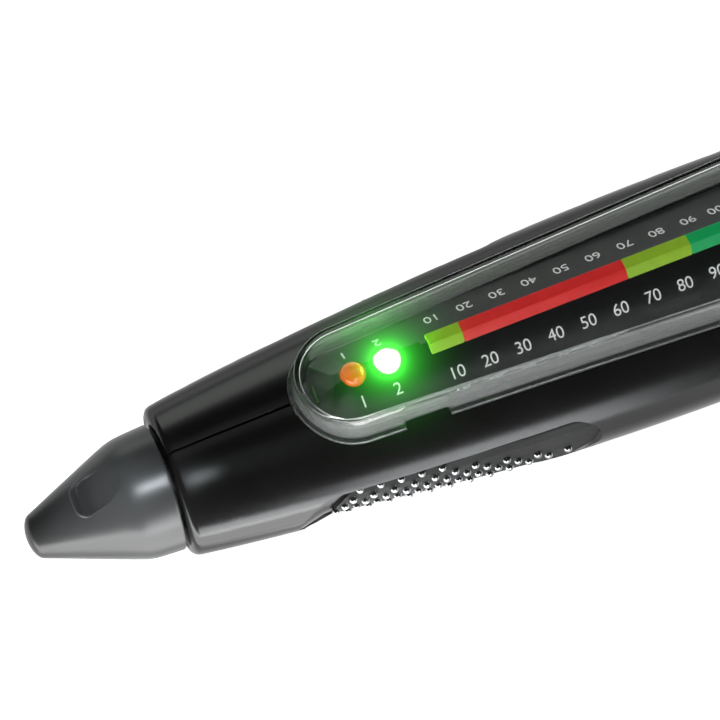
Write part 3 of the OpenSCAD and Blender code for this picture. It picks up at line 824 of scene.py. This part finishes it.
@dataclass
class NoseCap:
    """The pull-off cap: a soft-kneed cone with a pull notch, hollow for collar and probe."""

    tip_r: float = 2.4
    tip_round: float = 1.1
    tip_power: float = 2.2
    tip_steps: int = 14
    cone_s: float = 0.3
    knee_s: float = 12.9
    knee_r: float = 7.6
    knee_soft: float = 0.12
    side_steps: int = 130
    rear_s: float = 17.25
    rear_r: float = 7.82
    rear_edge: float = 0.25
    rear_corner: Span = (0.08, 0.07)
    socket_r: float = 5.6
    socket_edge: float = 0.2
    step_s: float = 11.5
    bore_r: float = 2.4
    bore_s: float = 4.5
    slant: float = 0.1
    notch_from_s: float = 1.0
    notch_s: float = 7.3
    notch_z: float = 4.3
    notch_half_w: float = 2.2
    notch_rise: float = math.radians(30.0)
    notch_round: float = 1.2
    notch_far: float = 9.0
    skin_mm: float = 0.05
    rim_mm: float = 0.5
    rim_below: float = 0.2
    rim_cuts: int = 3
    lip_mm: float = 0.2
    bead_mm: float = 0.12
    bead_out: float = 0.22
    bead_w: float = 0.12
    bead_fade: float = 0.5
    turns: int = 256
    sharp_deg: float = 50.0

    def build(self, paints: Paints) -> None:
        """Makes the cap.

        Args:
            paints: The part's materials.
        """
        profile = [at(s, 0.0, r) for s, r in self._profile()]
        bm = turned(profile, at(0.0, 0.0, 0.0), (1.0, 0.0, 0.0), self.turns)
        rim = [e for e in bm.edges if all(self._near_rim(v.co) for v in e.verts)]
        bmesh.ops.subdivide_edges(bm, edges=rim, cuts=self.rim_cuts, use_grid_fill=True)
        for vert in bm.verts:
            vert.co = self._placed(vert.co)
        grey_plastic = paints.by_slot[Slot.CAP]
        new_piece(
            "nose_cap_skin", bm, grey_plastic, Body.CAP, ("nose_cap",), self.sharp_deg
        )

    def _radius(self, s: float) -> float:
        """Gives the outer radius, with a soft knee and a round tip edge.

        Args:
            s: Station in mm behind the tip.

        Returns:
            The radius in mm.
        """
        grow, past = self.knee_r - self.tip_r, s - self.knee_s
        cone = self.tip_r + grow * (s - self.cone_s) / (self.knee_s - self.cone_s)
        rear = self.knee_r + (self.rear_r - self.knee_r) * past / (self.rear_s - self.knee_s)
        r = (cone + rear - math.sqrt((cone - rear) ** 2 + self.knee_soft)) / 2
        if s < self.tip_round:
            r *= (1 - (1 - s / self.tip_round) ** self.tip_power) ** 0.5
        return r

    def _profile(self) -> list[Span]:
        """Draws the closed profile from the tip's centre round to the bore's end.

        Returns:
            Points as mm behind the tip and radius.
        """
        stations = [self.tip_round * (i / self.tip_steps) ** 2 for i in range(1, self.tip_steps)]
        span = self.rear_s - self.rear_edge - self.tip_round
        for i in range(self.side_steps + 1):
            stations.append(self.tip_round + span * i / self.side_steps)
        rear_in, rear_down = self.rear_corner
        return [
            (0.0, 0.0),
            *((s, self._radius(s)) for s in stations),
            (self.rear_s - rear_in, self.rear_r - rear_down),
            (self.rear_s, self.rear_r - self.rear_edge),
            (self.rear_s, self.socket_r + self.socket_edge),
            (self.rear_s - self.socket_edge, self.socket_r),
            (self.step_s, self.socket_r),
            (self.step_s, self.bore_r),
            (self.bore_s, self.bore_r),
            (self.bore_s, 0.0),
        ]

    def _notch(self, co: Vector) -> Span:
        """Measures a place against the pull notch.

        Args:
            co: A place on the turned form, in metres.

        Returns:
            Its distance outside the notch's outline and its height over the notch's floor, in mm.
        """
        s, y, z = co.x / MM - TIP_X, co.y / MM, co.z / MM - AXIS_Z
        if z < 0 or s < self.notch_from_s or math.hypot(y, z) < self._radius(s) - self.skin_mm:
            return self.notch_far, 0.0
        cos_a, sin_a = math.cos(self.notch_rise), math.sin(self.notch_rise)
        du, dz = s - self.notch_s, z - self.notch_z
        run, high = du * cos_a + dz * sin_a, -du * sin_a + dz * cos_a
        qx, qy = self.notch_round - run, abs(y) - (self.notch_half_w - self.notch_round)
        out = math.hypot(max(qx, 0.0), max(qy, 0.0)) + min(max(qx, qy), 0.0) - self.notch_round
        return out, high

    def _near_rim(self, co: Vector) -> bool:
        """Tells whether a place is close to the notch's outline."""
        out, high = self._notch(co)
        return abs(out) < self.rim_mm and high > -self.rim_below

    def _placed(self, co: Vector) -> Vector:
        """Slants the rear end, presses the notch into the top and raises a bead round it.

        Args:
            co: A vertex of the turned form, in metres.

        Returns:
            Its new place.
        """
        out, high = self._notch(co)
        s, y, z = co.x / MM - TIP_X, co.y / MM, co.z / MM - AXIS_Z
        bead = self.bead_mm * math.exp(-(((out - self.bead_out) / self.bead_w) ** 2))
        press = smooth(0.5 - out / self.lip_mm) * max(0.0, high)
        press -= bead * smooth(high / self.bead_fade)
        s, z = s + press * math.sin(self.notch_rise), z - press * math.cos(self.notch_rise)
        lean = min(1.0, max(0.0, (s - self.step_s) / (self.rear_s - self.step_s)))
        return at(s + self.slant * z * lean, y, z)


@dataclass
class Window:
    """The clear domed window with its seat, its lip and the two clip notches."""

    front_s: float = 41.5
    front_r: float = 7.4
    rear_s: float = 99.0
    rear_r: float = 10.5
    crown_z: float = 12.7
    lip: float = 0.4
    seat: float = 1.0
    wall: float = 1.1
    inner_in: float = 1.3
    notch: Span = (45.45, 50.95)
    notch_in: float = 0.95
    notch_edge: float = 0.02
    notch_rounds: int = 6
    end_n: int = 48
    side_n: int = 64
    dome_n: int = 20
    wall_share: float = 0.7
    wall_in: float = 0.4
    edge_round: float = 0.4
    corner_n: int = 8
    shelf: float = 0.55
    foot: tuple[tuple[float, float], ...] = (
        (0.45, 0.42), (0.22, 0.42), (0.12, 0.4), (0.05, 0.35), (0.0, 0.24), (0.0, -1.0)
    )
    sharp_deg: float = 35.0

    def _outline(self) -> list[Sample]:
        """Samples the outline.

        Returns:
            For each sample its spine point, its outward direction, its radius and the share of
            the radius that a notch leaves.
        """
        tilt = math.acos((self.front_r - self.rear_r) / (self.rear_s - self.front_s))
        spread = np.linspace(self.front_s, self.rear_s, self.side_n)
        stops = sorted({*spread, *self._notch_stops(tilt)})
        arc, front_turn = range(1, self.end_n), 2 * math.pi - 2 * tilt
        samples = [(self.rear_s, -tilt + 2 * tilt * i / self.end_n, self.rear_r) for i in arc]
        samples += [(spine, tilt, self._spine_r(spine)) for spine in reversed(stops)]
        samples += [(self.front_s, tilt + front_turn * i / self.end_n, self.front_r) for i in arc]
        samples += [(spine, -tilt, self._spine_r(spine)) for spine in stops]
        outline = []
        for s, turn, r in samples:
            out = Vector((math.cos(turn), math.sin(turn)))
            outline.append((Vector((s, 0.0)), out, r, self._left(s + r * math.cos(turn), r)))
        return outline

    def _spine_r(self, s: float) -> float:
        """Gives the radius at a place on the spine."""
        grow, run = self.rear_r - self.front_r, self.rear_s - self.front_s
        return self.front_r + grow * (s - self.front_s) / run

    def _notch_stops(self, tilt: float) -> list[float]:
        """Finds the spine places close to both sides of each notch end.

        Args:
            tilt: Angle of the straight sides' outward direction.

        Returns:
            The places in mm behind the tip.
        """
        stops = []
        for end in self.notch:
            for side in (-self.notch_edge, self.notch_edge):
                s = end
                for _ in range(self.notch_rounds):
                    s = end + side - self._spine_r(s) * math.cos(tilt)
                stops.append(s)
        return stops

    def _left(self, s: float, r: float) -> float:
        """Gives the share of the radius that a clip notch leaves at a place on the outline."""
        return (r - self.notch_in) / r if self.notch[0] < s < self.notch[1] else 1.0

    def build(self, paints: Paints) -> None:
        """Makes the window as one closed skin, from the crown out and back under.

        Args:
            paints: The part's materials.
        """
        outline = self._outline()
        edges = [FORM.surface_z(p.x + r * n.x, r * n.y) for p, n, r, _ in outline]
        steps = range(self.dome_n + self.corner_n + 2)
        rings = [self._ring(outline, edges, step, self.shelf, 0.0) for step in steps]
        for inset, rise in self.foot:
            rings.append(self._flat_ring(outline, edges, inset, rise))
        rings.append(self._flat_ring(outline, edges, self.inner_in, -self.seat))
        for step in reversed(steps):
            rings.append(self._ring(outline, edges, step, self.inner_in, self.wall))
        bm = loft(rings)
        clear = paints.by_slot[Slot.CLEAR]
        new_piece(
            "window_dome", bm, clear, Body.HOUSING, ("window",), self.sharp_deg
        )

    def _profile(self, foot: float, high: float, step: int) -> tuple[float, float]:
        """Gives a point of the dome's profile: a gentle arch, a round edge and a steep wall.

        Args:
            foot: Distance of the wall's foot from the spine, in mm.
            high: Height of the crown above the wall's foot, in mm.
            step: Step along the profile, from the crown out.

        Returns:
            The distance from the spine and the height above the wall's foot, in mm.
        """
        rim = foot - self.wall_in
        wall = self.wall_share * high
        if step <= self.dome_n:
            reach = (rim - self.edge_round) * step / self.dome_n
            return reach, wall + (high - wall) * (1 - (reach / rim) ** 2)
        if step <= self.dome_n + self.corner_n:
            turn = math.pi / 2 * (step - self.dome_n) / self.corner_n
            edge = self.edge_round
            start = rim - edge
            top = wall + (high - wall) * (1 - (start / rim) ** 2)
            return start + edge * math.sin(turn), top - edge * (1 - math.cos(turn))
        return foot, 0.0

    def _ring(
        self, outline: list[Sample], edges: list[float], step: int, inset: float, drop: float
    ) -> list[Vector]:
        """Gives one ring of the dome.

        Args:
            outline: Samples of the outline.
            edges: Height of the body at each sample.
            step: Step along the profile, from the crown out.
            inset: Distance of the wall's foot inside the outline, in mm.
            drop: Distance below the outer dome, in mm.

        Returns:
            The ring's places.
        """
        ring = []
        for (p, n, r, left), edge in zip(outline, edges):
            low = edge + self.lip - drop
            reach, rise = self._profile(r - inset, self.crown_z - drop - low, step)
            reach = min(reach, r * left)
            ring.append(at(p.x + reach * n.x, reach * n.y, low + rise))
        return ring

    def _flat_ring(
        self, outline: list[Sample], edges: list[float], inset: float, rise: float
    ) -> list[Vector]:
        """Gives one ring at a set distance inside the outline and above the body.

        Args:
            outline: Samples of the outline.
            edges: Height of the body at each sample.
            inset: Distance inside the outline, in mm.
            rise: Distance above the body, in mm.

        Returns:
            The ring's places.
        """
        ring = []
        for (p, n, r, left), edge in zip(outline, edges):
            reach = min(r - inset, r * left)
            ring.append(at(p.x + reach * n.x, reach * n.y, edge + rise))
        return ring


@dataclass(frozen=True)
class BarPart:
    """A lens of the light bar.

    Attributes:
        node: CAD node of the lens.
        first: Units of the bar in front of it.
        units: Its own units.
        slot: Record slot of its finish.
    """

    node: str
    first: int
    units: int
    slot: Slot


@dataclass
class Display:
    """What is seen under the window: the light bar's lenses and the printed numerals."""

    bar: tuple[BarPart, ...] = (
        BarPart("bar_first", 0, 1, Slot.BAR_YELLOW),
        BarPart("bar_red", 1, 5, Slot.BAR_RED),
        BarPart("bar_second", 6, 2, Slot.BAR_YELLOW),
        BarPart("bar_green", 8, 4, Slot.BAR_GREEN),
    )
    ridge_z: float = 10.74
    fall: float = 0.6
    bar_s: float = 51.3
    pitch: float = 4.2
    far_y: float = 0.9
    near_y: float = -0.5
    foot_y: float = -1.4
    low_z: float = 9.0
    foot_z: float = 9.85
    top_z: float = 11.0
    round_mm: float = 0.1
    round_n: int = 3
    sharp_deg: float = 20.0
    lamp_s: Span = (41.9, 46.2)
    count_by: int = 10
    print_y: float = 3.9
    lamp_print_y: float = 3.3
    print_h: float = 1.45
    print_t: float = 0.03
    digit_share: float = 0.7

    def build(self, paints: Paints) -> None:
        """Makes the bar's lenses and the print.

        Args:
            paints: The part's materials.
        """
        for part in self.bar:
            bm = self._lens(self.bar_s + part.first * self.pitch, part.units * self.pitch)
            lens = paints.by_slot[part.slot]
            new_piece(
                part.node + "_lens", bm, lens, Body.HOUSING, (part.node,), self.sharp_deg
            )
        self._numerals(paints)

    def _lens(self, s: float, length: float) -> BMesh:
        """Makes a lens with a flat top, a sloping near face and soft edges.

        Args:
            s: Front end in mm behind the tip.
            length: Length in mm.

        Returns:
            The lens.
        """
        section = (
            (self.far_y, self.low_z), (self.far_y, self.top_z), (self.near_y, self.top_z),
            (self.foot_y, self.foot_z), (self.foot_y, self.low_z),
        )
        bm = bmesh.new()
        verts = [bm.verts.new(at(s, y, z)) for y, z in section]
        face = bmesh.ops.contextual_create(bm, geom=verts)["faces"]
        grown = bmesh.ops.extrude_face_region(bm, geom=face)["geom"]
        ends = [v for v in grown if isinstance(v, BMVert)]
        bmesh.ops.translate(bm, vec=(length * MM, 0.0, 0.0), verts=ends)
        bmesh.ops.bevel(
            bm, geom=bm.edges, offset=self.round_mm * MM, affect="EDGES", segments=self.round_n,
            profile=0.5, material=-1,
        )
        bmesh.ops.recalc_face_normals(bm, faces=bm.faces)
        return bm

    def _numerals(self, paints: Paints) -> None:
        """Prints a plain row of numerals on each slope, each facing its own side.

        Args:
            paints: The part's materials.
        """
        bm = bmesh.new()
        for unit in range(sum(part.units for part in self.bar)):
            s = self.bar_s + (unit + 0.5) * self.pitch
            for side in (-1, 1):
                self._numeral(bm, str(self.count_by * (unit + 1)), s, side * self.print_y)
        for number, s in enumerate(self.lamp_s, 1):
            for side in (-1, 1):
                self._numeral(bm, str(number), s, side * self.lamp_print_y)
        new_piece("scale_numerals", bm, paints.print, Body.HOUSING)

    def _numeral(self, bm: BMesh, text: str, s: float, y: float) -> None:
        """Adds one numeral as a thin raised print.

        Args:
            bm: Geometry to add to.
            text: The numeral.
            s: Its place in mm behind the tip.
            y: Its place across in mm, less than 0 on the near slope.
        """
        side = math.copysign(1.0, y)
        curve = bpy.data.curves.new("numeral", "FONT")
        curve.body = text
        curve.align_x, curve.align_y = "CENTER", "CENTER"
        curve.size = self.print_h * MM / self.digit_share
        curve.extrude = self.print_t / 2 * MM
        holder = bpy.data.objects.new("numeral", curve)
        bpy.context.scene.collection.objects.link(holder)
        bpy.context.view_layer.update()
        mesh = holder.to_mesh()
        right = Vector((-side, 0, 0))
        up = Vector((0, -side, self.fall)).normalized()
        face = right.cross(up)
        turn = Matrix((right, up, face)).transposed().to_4x4()
        place = at(s, y, self.ridge_z - self.fall * abs(y)) + face * self.print_t / 2 * MM
        mesh.transform(Matrix.Translation(place) @ turn)
        bm.from_mesh(mesh)
        holder.to_mesh_clear()
        bpy.data.objects.remove(holder)
        bpy.data.curves.remove(curve)


@dataclass
class GripStuds:
    """The bright domed studs of each finger grip, where the CAD has its studs."""

    radius: float = 0.55
    around: int = 20
    profile: tuple[Span, ...] = (
        (1.04, -0.35), (1.04, -0.05), (0.99, 0.1), (0.93, 0.32),
        (0.81, 0.55), (0.62, 0.76), (0.38, 0.91), (0.14, 0.98),
    )
    sharp_deg: float = 60.0

    def build(self, paints: Paints) -> None:
        """Makes the studs of both sides.

        Args:
            paints: The part's materials.
        """
        chrome = paints.by_slot[Slot.STUD]
        for node in ("left_studs", "right_studs"):
            bm = bmesh.new()
            for centre in self._centres(node):
                self._stud(bm, centre)
            bmesh.ops.recalc_face_normals(bm, faces=bm.faces)
            new_piece(
                node + "_domes", bm, chrome, Body.HOUSING, (node,), self.sharp_deg
            )

    def _centres(self, node: str) -> list[Vector]:
        """Finds the middle of each separate stud of a CAD node.

        Args:
            node: Name of the CAD node.

        Returns:
            The studs' centres in metres.
        """
        bm = merged_copy(node)
        left = set(bm.verts)
        centres = []
        while left:
            group, todo = [], [left.pop()]
            while todo:
                vert = todo.pop()
                group.append(vert.co.copy())
                for edge in vert.link_edges:
                    other = edge.other_vert(vert)
                    if other in left:
                        left.remove(other)
                        todo.append(other)
            low = Vector(map(min, zip(*group)))
            high = Vector(map(max, zip(*group)))
            centres.append((low + high) / 2)
        bm.free()
        return sorted(centres, key=lambda c: (c.x, c.z))

    def _stud(self, bm: BMesh, centre: Vector) -> None:
        """Adds one domed stud that stands square to the pad.

        Args:
            bm: Geometry to add to.
            centre: Middle of the CAD stud, in metres.
        """
        place = np.array([[centre.x / MM - TIP_X, centre.y / MM, centre.z / MM - AXIS_Z]])
        out = Vector(FORM.skin(place, True)[1][0])
        turn = out.to_track_quat("Z", "Y").to_matrix()
        foot: Ring = []
        top: Ring = []
        for wide, high in self.profile:
            places = []
            for i in range(self.around):
                a = 2 * math.pi * i / self.around
                local = Vector((wide * math.cos(a), wide * math.sin(a), high)) * self.radius * MM
                places.append(centre + turn @ local)
            top = next_ring(bm, top, places) if top else first_ring(bm, places)
            foot = foot or top
        for end in (foot, top):
            bmesh.ops.contextual_create(bm, geom=ring_edges(bm, end))


@dataclass
class PowerButton:
    """The round push button behind the window, dished on top."""

    s: float = 115.2
    radius: float = 4.0
    flange_r: float = 4.9
    flange_z: float = 6.0
    flange_t: float = 1.2
    stem_r: float = 1.5
    stem_z: float = 4.2
    rise: float = 0.7
    edge_round: float = 0.45
    edge_n: int = 6
    dish: float = 0.3
    dish_n: int = 10
    dish_slope_n: int = 8
    around: int = 96
    sharp_deg: float = 40.0

    def build(self, paints: Paints) -> None:
        """Makes the button.

        Args:
            paints: The part's materials.
        """
        places = [at(self.s + r, 0.0, z) for r, z in self._profile()]
        bm = turned(places, at(self.s, 0.0, 0.0), (0.0, 0.0, 1.0), self.around)
        plastic = paints.by_slot[Slot.BUTTON]
        new_piece(
            "power_button_cap", bm, plastic, Body.BUTTON, ("power_button",),
            self.sharp_deg,
        )

    def _profile(self) -> list[Span]:
        """Draws the profile from the stem's foot round to the middle of the dish.

        Returns:
            Points as radius and height above the cap's axis, in mm.
        """
        top = float(FORM.top_z(np.array([self.s]))[0]) + self.rise
        low, edge = self.flange_z - self.flange_t, self.edge_round
        profile = [
            (0.0, self.stem_z),
            (self.stem_r, self.stem_z),
            (self.stem_r, low),
            (self.flange_r, low),
            (self.flange_r, self.flange_z),
            (self.radius, self.flange_z),
            (self.radius, top - edge),
        ]
        for i in range(1, self.edge_n + 1):
            a = math.pi / 2 * i / self.edge_n
            across, up = edge * math.cos(a), edge * math.sin(a)
            profile.append((self.radius - edge + across, top - edge + up))
        for i in range(1, self.dish_n + 1):
            r = (self.radius - edge) * (1 - i / self.dish_n)
            profile.append((r, top - self.dish * smooth(i / self.dish_slope_n)))
        return profile


@dataclass
class ProbeSpring:
    """The coil behind the probe's pin, copied at one length from its CAD node; the real coil
    shortens as the pin is pressed.
    """

    node: str = "probe_spring"
    joint: str = "probe_press"
    fixed_s: float = 26.0
    stroke: float = 1.5
    sharp_deg: float = 60.0

    def build(self, paints: Paints) -> None:
        """Makes the coil.

        Args:
            paints: The part's materials.
        """
        piece = new_piece(
            "probe_spring_coil", merged_copy(self.node), paints.by_slot[Slot.STEEL],
            Body.HOUSING, (self.node,), self.sharp_deg,
        )
        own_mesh(piece)


def dress_nodes(paints: Paints) -> None:
    """Gives every CAD node the finish of its record slot.

    Args:
        paints: The part's materials.
    """
    slots = {row["node"]: Slot(row["material_slot"]) for row in frame["record"]["subparts"]}
    for node, obj in frame["nodes"].items():
        material = paints.by_slot[slots[node]]
        obj.data.materials.clear()
        obj.data.materials.append(material)
        LOG.info("%s: %s", node, material.name)


@dataclass(frozen=True)
class SoftBox:
    """A soft light that the camera doesn't see, in metres.

    Attributes:
        name: Name of the light.
        place: Place of its middle.
        size: Width and height.
        glow: Radiance of its face.
        tint: Linear colour.
        card: True for a card that lies on the floor and faces up.
        aim: Place that it faces otherwise.
    """

    name: str
    place: Place
    size: Span
    glow: float
    tint: Colour = (1.0, 1.0, 1.0)
    card: bool = False
    aim: Place = (-0.05, 0.0, 0.012)

    def hang(self) -> None:
        """Makes the light."""
        light = bpy.data.lights.new(self.name, "AREA")
        light.shape = "RECTANGLE"
        light.size, light.size_y = self.size
        light.energy = self.glow * math.pi * self.size[0] * self.size[1]
        light.color = self.tint
        lamp = bpy.data.objects.new(self.name, light)
        lamp.location = self.place
        ray = Vector(self.aim) - Vector(self.place)
        lamp.rotation_euler = (math.pi, 0.0, 0.0) if self.card else facing(ray)
        lamp.visible_camera = False
        bpy.context.scene.collection.objects.link(lamp)


@dataclass
class Studio:
    """Floor, lights and camera, with the camera and the spot placed as at() places things."""

    lens_mm: float = 96.86
    sensor_mm: float = 36.0
    clip_m: Span = (0.01, 20.0)
    eye: Place = (12.505, -98.06, 209.92)
    aim: Place = (44.951, 6.447, 0.0)
    roll: float = math.radians(-5.554)
    floor_m: float = 6.0
    boxes: tuple[SoftBox, ...] = (
        SoftBox("near_panel", (0.015, -0.5, 0.13), (0.14, 0.24), 7.0, (0.94, 0.98, 1.0)),
        SoftBox("near_low_panel", (-0.13, -0.5, 0.06), (0.15, 0.12), 8.5, (0.94, 0.98, 1.0)),
        SoftBox("near_card", (-0.22, -0.27, 0.001), (0.36, 0.36), 9.0, card=True),
        SoftBox("close_card", (-0.11, -0.076, 0.001), (0.14, 0.124), 3.8, card=True),
        SoftBox("nose_card", (-0.32, -0.1, 0.001), (0.3, 0.16), 7.0, card=True),
        SoftBox("ceiling_box", (-0.13, -0.22, 1.0), (0.2, 0.34), 0.3, (0.9, 0.96, 1.0)),
        SoftBox("far_top_box", (-0.2, 0.42, 1.0), (0.55, 0.45), 0.3),
        SoftBox("far_wall", (0.15, 0.85, 0.27), (0.9, 0.36), 1.5, (0.95, 1.0, 0.95)),
    )
    spot: Place = (17.6, -60.0, 231.0)
    spot_aim: Place = (11.0, -2.6, 7.0)
    spot_cone: float = math.radians(4.8)
    spot_watts: float = 2.9
    spot_r: float = 0.005
    spot_tint: Colour = (0.88, 0.95, 1.0)
    room_tint: Colour = (0.9, 0.95, 1.0)
    room_glow: float = 0.03
    bloom_from: float = 12.0
    bloom: float = 1.2
    bloom_size: float = 0.1

    def build(self) -> None:
        """Sets up the whole studio."""
        self._floor()
        for box in self.boxes:
            box.hang()
        self._spot()
        self._room()
        self._camera()
        self._glow()
        scene = bpy.context.scene
        scene.view_settings.view_transform = "Standard"
        scene.view_settings.look = "None"

    def _floor(self) -> None:
        """Lays a plain white floor at the underside."""
        bm = bmesh.new()
        bmesh.ops.create_grid(bm, x_segments=1, y_segments=1, size=self.floor_m / 2)
        mesh = bpy.data.meshes.new("floor")
        bm.to_mesh(mesh)
        bm.free()
        mesh.materials.append(PAPER.build())
        floor = bpy.data.objects.new("floor", mesh)
        bpy.context.scene.collection.objects.link(floor)

    def _spot(self) -> None:
        """Hangs the small spot over the cap."""
        light = bpy.data.lights.new("nose_spot", "SPOT")
        light.energy = self.spot_watts
        light.color = self.spot_tint
        light.shadow_soft_size = self.spot_r
        light.spot_size, light.spot_blend = self.spot_cone, 1.0
        spot = bpy.data.objects.new("nose_spot", light)
        spot.location = at(*self.spot)
        spot.rotation_euler = facing(at(*self.spot_aim) - at(*self.spot))
        bpy.context.scene.collection.objects.link(spot)

    def _room(self) -> None:
        """Sets a dim room round the part."""
        world = bpy.data.worlds.new("room")
        bpy.context.scene.world = world
        world.use_nodes = True
        backdrop = world.node_tree.nodes["Background"]
        backdrop.inputs["Color"].default_value = (*self.room_tint, 1.0)
        backdrop.inputs["Strength"].default_value = self.room_glow

    def _camera(self) -> None:
        """Sets the camera at the photograph's viewing angle."""
        eye, aim = at(*self.eye), at(*self.aim)
        forward = (aim - eye).normalized()
        right = forward.cross(Vector((0, 0, 1))).normalized()
        up = right.cross(forward)
        cos_r, sin_r = math.cos(self.roll), math.sin(self.roll)
        axis_x = right * cos_r + up * sin_r
        axis_y = up * cos_r - right * sin_r
        data = bpy.data.cameras.new("camera")
        data.lens = self.lens_mm
        data.sensor_width = self.sensor_mm
        data.clip_start, data.clip_end = self.clip_m
        camera = bpy.data.objects.new("camera", data)
        pose = Matrix((axis_x, axis_y, -forward)).transposed().to_4x4()
        pose.translation = eye
        camera.matrix_world = pose
        bpy.context.scene.collection.objects.link(camera)
        bpy.context.scene.camera = camera

    def _glow(self) -> None:
        """Lets the lit lamp bloom, as in a photograph."""
        scene = bpy.context.scene
        scene.use_nodes = True
        tree = scene.node_tree
        tree.nodes.clear()
        layers = tree.nodes.new("CompositorNodeRLayers")
        glare = tree.nodes.new("CompositorNodeGlare")
        glare.glare_type = "BLOOM"
        glare.inputs["Threshold"].default_value = self.bloom_from
        glare.inputs["Strength"].default_value = self.bloom
        glare.inputs["Size"].default_value = self.bloom_size
        out = tree.nodes.new("CompositorNodeComposite")
        tree.links.new(layers.outputs["Image"], glare.inputs["Image"])
        tree.links.new(glare.outputs["Image"], out.inputs["Image"])


def main() -> None:
    """Builds and dresses the part in order."""
    logging.basicConfig(level=logging.INFO, format="%(name)s %(message)s")
    paints = Paints()
    dress_nodes(paints)
    assemblies = (
        Housing(), NoseCap(), Window(), Display(), GripStuds(), PowerButton(), ProbeSpring()
    )
    for assembly in assemblies:
        assembly.build(paints)
    Studio().build()


if __name__ == "__main__":
    main()
